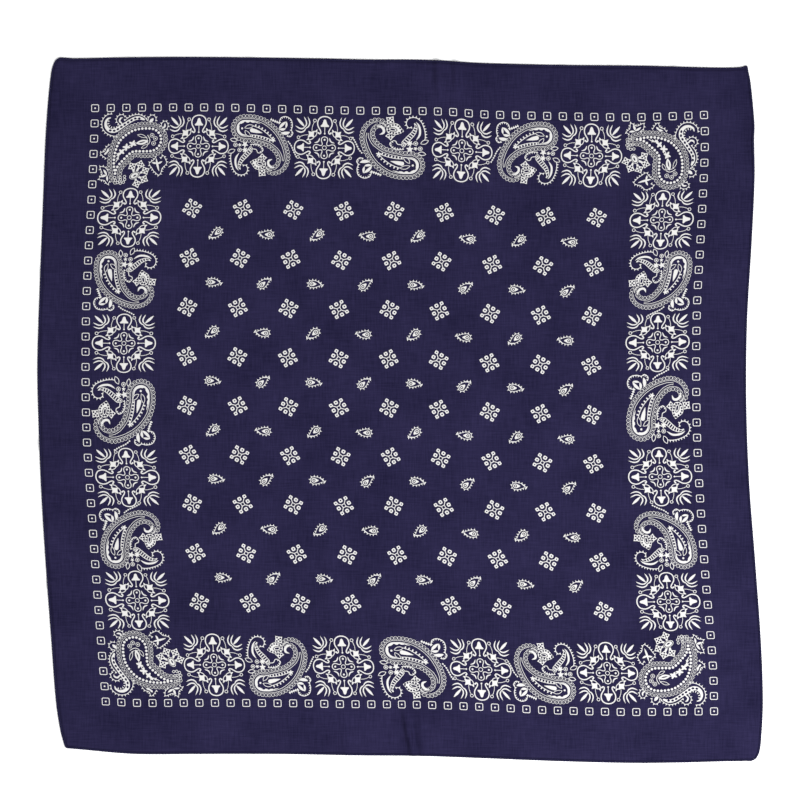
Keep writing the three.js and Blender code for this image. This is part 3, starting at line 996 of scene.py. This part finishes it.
@dataclass
class RolledHem:
    """The cloth's edge rolled under into a narrow bead, and overcast with fine thread."""

    drape: Drape
    finish: bpy.types.Material
    thread_finish: bpy.types.Material
    width: float = 1.9
    thickness: float = 1.0
    step: float = 0.8
    sides: int = 12
    stitch_pitch: float = 2.6
    stitch_slant: float = 1.1
    stitch_sides: int = 6
    stitch_inset: float = 3.0
    arch_points: int = 7
    arch_overrun: float = 0.12
    thread: float = 0.17
    ease: float = 0.02
    nub: float = 0.7
    end_length: float = 1.1
    end_overrun: float = 0.1
    dent: float = 0.07
    squareness: float = 0.8

    def bead(self, edge: Edge) -> bpy.types.Object:
        """Build one edge's bead, dented where each stitch pulls it in."""
        length = edge.length(self.drape)
        along = np.linspace(-self.end_overrun, length + self.end_overrun, int(length / self.step) + 1)
        near = np.minimum(along - along[0], along[-1] - along)
        end = np.sqrt(np.clip(1 - np.clip(1 - near / self.end_length, 0, 1) ** 2, 0.02, 1))
        end = end * (1 + self.nub * 0.25 * np.exp(-((near - 2.2) / 1.6) ** 2))
        angle = 2 * np.pi * np.arange(self.sides) / self.sides
        ring_along, ring = np.meshgrid(along, angle, indexing="ij")
        waist = 1 - self.dent * (0.5 + 0.5 * np.cos(2 * np.pi * ring_along / self.stitch_pitch))
        uneven = 1 + 0.05 * np.sin(ring_along / 9.0) + 0.04 * np.sin(ring_along / 3.7 + 1)
        half_w = self.width / 2 * end[:, None] * waist
        half_z = self.thickness / 2 * end[:, None] * waist * uneven
        inward = self.width / 2 + half_w * np.sign(np.cos(ring)) * np.abs(np.cos(ring)) ** self.squareness
        z = self.thickness / 2 + half_z * np.sign(np.sin(ring)) * np.abs(np.sin(ring)) ** self.squareness
        s, t = edge.on_cloth(self.drape, ring_along, inward)
        points = self.drape.place(s, t, np.maximum(z, 0.02).ravel())
        grid = np.arange(points.shape[0]).reshape(ring.shape)
        walls = turned_over(quads(grid, np.roll(grid, -1, axis=1)))
        faces = [*walls.tolist(), grid[0].tolist(), grid[-1, ::-1].tolist()]
        bead = make_piece(f"hem_{edge.value}_bead", points, faces, self.finish)
        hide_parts(f"hem_{edge.value}")
        return bead

    def stitches(self, edge: Edge) -> bpy.types.Object:
        """Build one edge's overcast stitches: slanted loops of thread over the bead."""
        length = edge.length(self.drape)
        first = np.arange(self.stitch_inset, length - self.stitch_inset, self.stitch_pitch)
        arch = np.linspace(-self.arch_overrun, 1 + self.arch_overrun, self.arch_points) * np.pi
        round_it = 2 * np.pi * np.arange(self.stitch_sides) / self.stitch_sides
        over = np.cos(arch)
        up = np.sin(arch)
        along = first[:, None, None] + (self.stitch_slant * (0.5 - over / 2))[None, :, None]
        outward = self.thread * np.cos(round_it)[None, None, :]
        reach = self.width / 2 - self.ease + outward
        rise = self.thickness / 2 + self.ease + outward
        inward = self.width / 2 + over[None, :, None] * reach
        z = self.thickness / 2 + up[None, :, None] * rise
        along = along + self.thread * np.sin(round_it)[None, None, :]
        along, inward, z = np.broadcast_arrays(along, inward, z)
        s, t = edge.on_cloth(self.drape, along, inward)
        points = self.drape.place(s, t, z.ravel())
        grid = np.arange(points.shape[0]).reshape(along.shape)
        faces = quads(grid, np.roll(grid, -1, axis=2)).tolist()
        faces += grid[:, 0, ::-1].tolist() + grid[:, -1].tolist()
        row = make_piece(f"hem_{edge.value}_stitches", points, faces, self.thread_finish)
        return row

    def build(self) -> list[bpy.types.Object]:
        """Build all four hems with their stitches."""
        pieces = []
        for edge in Edge:
            pieces += [self.bead(edge), self.stitches(edge)]
        return pieces


# Print

@dataclass(frozen=True)
class Station:
    """Where a motif stands in the print, in the print's own units.

    Attributes:
        place: how far across and down, in pitches of the ring of squares.
        turn: the number that the motif's points are multiplied by.
        mirror: whether the motif is turned left to right first.
        stretch: how much longer than drawn it is from left to right.
    """

    place: complex
    turn: complex = WHOLE
    mirror: bool = False
    stretch: float = 1.0

    def shape(self, drawn: Path) -> Path:
        """The motif's points as they lie round the station, in millimetres."""
        flat = -drawn.conj() if self.mirror else drawn
        return self.turn * (self.stretch * flat.real + 1j * flat.imag)


@dataclass(frozen=True)
class PrintFrame:
    """Where the print lies: its outer squares' corners, and how its sides stray from straight.

    Attributes:
        pitches: how many pitches of the ring of squares each side has.
        corners: x and y of the corner squares, from the top left one clockwise.
        top, right, bottom, left: station along the side from its left or top end, and how far the
            side strays there to the right and upwards.
    """

    pitches: int = 39
    corners: Rows = ((-243.92, 241.44), (242.98, 236.14), (251.08, -240.86), (-235.42, -233.06))
    top: Rows = (
        (0, 0, 0), (4, 0, 1.1), (8, -0.25, 1.6), (12, -0.2, 1.0), (17, -0.2, 0.35), (20.5, -0.2, 0.6),
        (23, -0.85, 0.1), (25, -0.8, -1.5), (30, -0.5, -2.3), (34, -0.1, -2.6), (37, 0, -1.3), (39, 0, 0))
    right: Rows = (
        (0, 0, 0), (1, 0.5, -0.8), (3, -0.3, -1.6), (8, -4.4, -1.7), (13, -8.5, -1.5), (19.5, -10, -1.45),
        (24, -8.8, -1.1), (30, -5.2, -0.7), (35, -1, -0.2), (37, 0, -0.1), (39, 0, 0))
    bottom: Rows = (
        (0, 0, 0), (2, 0, -0.75), (6, 0, 0.1), (12, 0.2, 0.95), (15, 0.1, 0.9), (18, 0.3, 1.3),
        (19.5, -0.6, 1.45), (21, -0.9, 1.3), (25, -0.6, 0.2), (28, -0.3, -1.2), (33, 0.15, -1.8),
        (37, 0.1, -0.7), (39, 0, 0))
    left: Rows = (
        (0, 0, 0), (5, -3.4, -0.1), (10, -7.8, -0.2), (14, -10.5, -0.2), (19, -11.7, 0), (22, -11.3, 0.3),
        (25, -9.6, 0.45), (30, -6.5, 0.3), (35, -3, 0), (39, 0, 0))

    def stray(self, rows: Rows, station: np.ndarray) -> Path:
        """How far a side strays at a station."""
        table = np.array(rows, float)
        moved = hermite(table[:, 0], table[:, 1:], np.clip(station, 0, self.pitches))
        return moved[:, 0] + 1j * moved[:, 1]

    def place(self, places: Path) -> Path:
        """Turn places of the print, in pitches across and down, into x + iy in millimetres."""
        u, v = places.real / self.pitches, places.imag / self.pitches
        a, b, c, d = (complex(*corner) for corner in self.corners)
        straight = (a * (1 - u) + b * u) * (1 - v) + (d * (1 - u) + c * u) * v
        across = self.stray(self.top, places.real) * (1 - v) + self.stray(self.bottom, places.real) * v
        down = self.stray(self.left, places.imag) * (1 - u) + self.stray(self.right, places.imag) * u
        return straight + across + down


@dataclass
class BandanaPrint:
    """The white print: a ring of squares, a border of paisleys and rosettes, and a spotted field."""

    drape: Drape
    finish: bpy.types.Material
    height: float
    frame: PrintFrame = PrintFrame()
    film: float = 0.17
    pitch: float = 12.37
    rosettes: Rows = ((6.7, 2.53), (14.745, 2.45), (23.58, 2.45), (31.81, 2.48))
    paisleys: Rows = ((10.77, 2.55, 0, 0, 1.0, 1.0), (18.99, 2.28, 180, 0, 1.02, 1.09),
                      (27.66, 2.53, 0, 1, 1.0, 1.0))
    corner: complex = 2.5 + 2.53j
    moves: tuple[complex, ...] = (-0.013 - 0.013j, -0.023 - 0.055j, -0.058 - 0.013j, -0.006 - 0.006j)
    tiles: int = 9
    first_tile: float = 6.6
    field_shift: Rows = ((-1.64, 0.3), (-1.09, 1.45), (-1.24, 0.25), (-1.54, -0.45))
    tile_turn: float = 30.0
    sprig_turns: Rows = ((0, 44), (224, 180))

    def shift(self, place: complex) -> complex:
        """How far the field lies off the border's middle lines at one of its stations."""
        last = self.frame.pitches - self.first_tile
        u, v = ((part - self.first_tile) / (last - self.first_tile) for part in (place.real, place.imag))
        a, b, c, d = (complex(*corner) for corner in self.field_shift)
        return (a * (1 - u) + b * u) * (1 - v) + (d * (1 - u) + c * u) * v

    def lay(self, name: str, drawing: Drawing, stations_: Sequence[Station],
            in_field: bool = False) -> bpy.types.Object:
        """Cut one motif and lay a copy at each station, as one piece of film on the cloth."""
        flat, triangles = drawing.cut()
        points, faces = [], []
        for number, station in enumerate(stations_):
            laid = self.frame.place(station.place + station.shape(flat) / self.pitch)
            laid = laid + (self.shift(station.place) if in_field else 0)
            height = self.height + self.film + self.drape.lift(laid.real, laid.imag)
            points.append(np.column_stack([laid.real, laid.imag, height]))
            copy = triangles if station.mirror else triangles[:, ::-1]
            faces.append(copy + number * len(flat))
        piece = make_piece(name, np.vstack(points), np.vstack(faces), self.finish)
        return piece

    def round_the_frame(self, places: Iterable[Station],
                        moves: Sequence[complex] = (0j, 0j, 0j, 0j)) -> list[Station]:
        """Repeat the stations of the top side on the other three, turned with each side.

        Args:
            places: the top side's stations.
            moves: how far each side's motifs are moved, in pitches, from the top side clockwise.

        Returns:
            The stations of all four sides.
        """
        middle = complex(self.frame.pitches, self.frame.pitches) / 2
        return [
            Station(middle + (p.place - middle) * 1j ** k + move, p.turn * 1j ** k, p.mirror, p.stretch)
            for k, move in enumerate(moves) for p in places
        ]

    def field_stations(self, count: int, first: float, turn_of: Callable[[int, int], float]) -> list[Station]:
        """Stations of a square grid in the field, each turned by so many degrees."""
        step = (self.frame.pitches - 2 * self.first_tile) / (self.tiles - 1)
        return [
            Station(complex(first + step * i, first + step * j), np.exp(1j * math.radians(turn_of(i, j))))
            for j in range(count) for i in range(count)
        ]

    def build(self) -> list[bpy.types.Object]:
        """Draw, cut and lay every motif."""
        step = (self.frame.pitches - 2 * self.first_tile) / (self.tiles - 1)
        squares = [Station(complex(i, 0)) for i in range(self.frame.pitches)]
        rosettes = [Station(complex(*place)) for place in self.rosettes]
        paisleys = [
            Station(complex(across, down), size * np.exp(1j * math.radians(turn)), bool(mirror), stretch)
            for across, down, turn, mirror, size, stretch in self.paisleys
        ]
        tiles = self.field_stations(self.tiles, self.first_tile,
                                    lambda i, j: self.tile_turn * (1 if (i + j) % 2 == 0 else -1))
        sprigs = self.field_stations(self.tiles - 1, self.first_tile + step / 2,
                                     lambda i, j: self.sprig_turns[j % 2][i % 2])
        return [
            self.lay("print_squares", SquareLink().draw(), self.round_the_frame(squares)),
            self.lay("print_rosettes", Rosette().draw(), self.round_the_frame(rosettes, self.moves)),
            self.lay("print_border_paisleys", BandPaisley().draw(),
                     self.round_the_frame(paisleys, self.moves)),
            self.lay("print_corner_paisleys", CornerPaisley().draw(),
                     self.round_the_frame([Station(self.corner)], self.moves)),
            self.lay("print_field_tiles", FieldTile().draw(), tiles, True),
            self.lay("print_field_sprigs", FieldSprig().draw(), sprigs, True),
        ]


# Finishes

def linear(colour: str) -> tuple[float, float, float, float]:
    """Turn an sRGB hex colour into linear light with full alpha."""
    parts = [int(colour[i:i + 2], 16) / 255 for i in (1, 3, 5)]
    lit = [p / 12.92 if p <= 0.04045 else ((p + 0.055) / 1.055) ** 2.4 for p in parts]
    return lit[0], lit[1], lit[2], 1.0


def add_node(tree: bpy.types.NodeTree, kind: str, settings: dict | None = None,
             **links: object) -> bpy.types.Node:
    """Add a node with its settings and links.

    Args:
        tree: the material's node tree.
        kind: the node's type name.
        settings: values of its properties, or of its inputs by name.
        links: output sockets for its inputs, with spaces in their names written as underscores,
            or in_0, in_1 and so on for inputs by number.

    Returns:
        The node.
    """
    made = tree.nodes.new(kind)
    for key, value in (settings or {}).items():
        if key in made.inputs:
            made.inputs[key].default_value = value
        else:
            setattr(made, key, value)
    for key, socket in links.items():
        index = int(key[3:]) if key.startswith("in_") else key.replace("_", " ")
        tree.links.new(socket, made.inputs[index])
    return made


def new_material(name: str) -> tuple[bpy.types.Material, bpy.types.NodeTree, bpy.types.Node]:
    """Make a material with its output node.

    Returns:
        The material, its node tree and the output node.
    """
    material = bpy.data.materials.new(name)
    material.use_nodes = True
    material.node_tree.nodes.clear()
    return material, material.node_tree, material.node_tree.nodes.new("ShaderNodeOutputMaterial")


@dataclass(frozen=True)
class PlainWeaveCotton:
    """Plain weave cotton, dyed or printed: matt, with fine uneven threads both ways.

    The real threads lie about 0.4 mm apart, finer than the picture shows, so the weave is drawn at
    twice that. Slubs, the thick places of a thread, show as short pale and dark dashes.
    """

    name: str
    dark: str
    light: str
    thread_mm: float = 0.8
    slub_long_mm: float = 16.0
    slub_wide_mm: float = 1.1
    cloud_mm: float = 45.0
    roughness: float = 0.92
    specular: float = 0.08
    sheen: float = 0.0
    bump: float = 0.25

    def make(self) -> bpy.types.Material:
        """Build the material."""
        material, tree, output = new_material(self.name)
        where = add_node(tree, "ShaderNodeTexCoord").outputs["Object"]
        long_, wide = 1 / (self.slub_long_mm * MM), 1 / (self.slub_wide_mm * MM)
        slubs = []
        for scale in ((long_, wide, 1.0), (wide, long_, 1.0)):
            placed = add_node(tree, "ShaderNodeMapping", {"Scale": scale}, Vector=where)
            slubs.append(add_node(tree, "ShaderNodeTexNoise", {"Scale": 1.0, "Detail": 2.0, "Roughness": 0.6},
                                  Vector=placed.outputs[0]).outputs["Fac"])
        cloud = add_node(tree, "ShaderNodeTexNoise", {"Scale": 1 / (self.cloud_mm * MM), "Detail": 3.0},
                         Vector=where)
        both = add_node(tree, "ShaderNodeMath", {"operation": "ADD"}, in_0=slubs[0], in_1=slubs[1])
        mixed = add_node(tree, "ShaderNodeMath", {"operation": "ADD"}, in_0=both.outputs[0],
                         in_1=cloud.outputs["Fac"])
        ramp = add_node(tree, "ShaderNodeMapRange", {"From Min": 0.9, "From Max": 2.1},
                        Value=mixed.outputs[0])
        colour = add_node(tree, "ShaderNodeMix", {"data_type": "RGBA"}, in_0=ramp.outputs[0])
        colour.inputs[6].default_value, colour.inputs[7].default_value = linear(self.dark), linear(self.light)
        axes = add_node(tree, "ShaderNodeSeparateXYZ", Vector=where)
        waves = []
        for axis in ("X", "Y"):
            phase = add_node(tree, "ShaderNodeMath", {"operation": "MULTIPLY"}, in_0=axes.outputs[axis])
            phase.inputs[1].default_value = math.pi / (self.thread_mm * MM)
            waves.append(add_node(tree, "ShaderNodeMath", {"operation": "SINE"},
                                  in_0=phase.outputs[0]).outputs[0])
        weave = add_node(tree, "ShaderNodeMath", {"operation": "MULTIPLY"}, in_0=waves[0], in_1=waves[1])
        height = add_node(tree, "ShaderNodeMath", {"operation": "ADD"}, in_0=weave.outputs[0],
                          in_1=both.outputs[0])
        raised = add_node(tree, "ShaderNodeBump", {"Strength": self.bump, "Distance": 0.1 * MM},
                          Height=height.outputs[0])
        shader = add_node(
            tree, "ShaderNodeBsdfPrincipled",
            {"Roughness": self.roughness, "Specular IOR Level": self.specular, "Sheen Weight": self.sheen,
             "Sheen Roughness": 0.5},
            Base_Color=colour.outputs[2], Normal=raised.outputs[0])
        tree.links.new(shader.outputs[0], output.inputs[0])
        return material


@dataclass(frozen=True)
class PaintedFloor:
    """A matt white studio floor, plain, so the cloth stands out as on a sheet of paper."""

    colour: str = "#fbfbfc"

    def make(self) -> bpy.types.Material:
        """Build the material."""
        material, tree, output = new_material("matt white studio floor")
        shader = add_node(tree, "ShaderNodeBsdfPrincipled",
                          {"Base Color": linear(self.colour), "Roughness": 0.9,
                                                              "Specular IOR Level": 0.1})
        tree.links.new(shader.outputs[0], output.inputs[0])
        return material


# Studio

@dataclass
class Studio:
    """The floor, the soft light and the camera straight above."""

    picture: float = 640.0
    middle: tuple[float, float] = (-0.12, 8.04)
    camera_height: float = 3200.0
    sensor: float = 36.0
    sky: float = 0.68
    key_power: float = 36.0
    key_place: tuple[float, float, float] = (860.0, -880.0, 1150.0)
    key_size: float = 900.0
    fill_power: float = 6.4
    fill_place: tuple[float, float, float] = (-900.0, 700.0, 1500.0)

    def light(self, name: str, place: tuple[float, float, float], size: float, power: float) -> None:
        """Hang one square soft light, aimed at the cloth's middle."""
        data = bpy.data.lights.new(name, "AREA")
        data.shape, data.size, data.energy = "SQUARE", size * MM, power
        lamp = bpy.data.objects.new(name, data)
        lamp.location = Vector(place) * MM
        lamp.rotation_euler = (-lamp.location).to_track_quat("-Z", "Y").to_euler()
        bpy.context.scene.collection.objects.link(lamp)

    def build(self) -> None:
        """Build the floor, lights, sky and camera."""
        half = 3000.0
        corners = np.array([[-half, -half, 0], [half, -half, 0], [half, half, 0], [-half, half, 0]])
        floor = make_piece("floor", corners, [[0, 1, 2, 3]], PaintedFloor().make())
        self.light("key light", self.key_place, self.key_size, self.key_power)
        self.light("fill light", self.fill_place, self.key_size, self.fill_power)
        world = bpy.data.worlds.new("soft white sky")
        world.use_nodes = True
        sky = world.node_tree.nodes["Background"]
        sky.inputs["Color"].default_value = (1.0, 1.0, 1.0, 1.0)
        sky.inputs["Strength"].default_value = self.sky
        bpy.context.scene.world = world
        data = bpy.data.cameras.new("camera")
        data.sensor_width = self.sensor
        data.lens = self.sensor * self.camera_height / self.picture
        camera = bpy.data.objects.new("camera", data)
        camera.location = Vector((*self.middle, self.camera_height)) * MM
        bpy.context.scene.collection.objects.link(camera)
        bpy.context.scene.camera = camera
        bpy.context.scene.view_settings.view_transform = "Standard"


def main() -> None:
    """Build the bandana on its floor, and hand every piece to the frame."""
    logging.basicConfig(level=logging.INFO, format="%(message)s")
    drape = Drape()
    navy = PlainWeaveCotton("plain weave cotton dyed navy", "#0f0d26", "#272342").make()
    white = PlainWeaveCotton("plain weave cotton printed white", "#c1c0be", "#cccbc9").make()
    rolled = PlainWeaveCotton("plain weave cotton rolled into a hem", "#14122a", "#1f1d38").make()
    thread = PlainWeaveCotton("navy spun sewing thread", "#13112a", "#211f3e", thread_mm=0.3).make()
    cloth = ClothPanel(drape, navy)
    panel = cloth.build()
    hems = RolledHem(drape, rolled, thread).build()
    prints = BandanaPrint(drape, white, cloth.top_height()).build()
    for piece in (panel, *hems, *prints):
        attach(piece, "root")
    Studio().build()
    log.info("pieces: %d", 1 + len(hems) + len(prints))


if __name__ == "__main__":
    main()
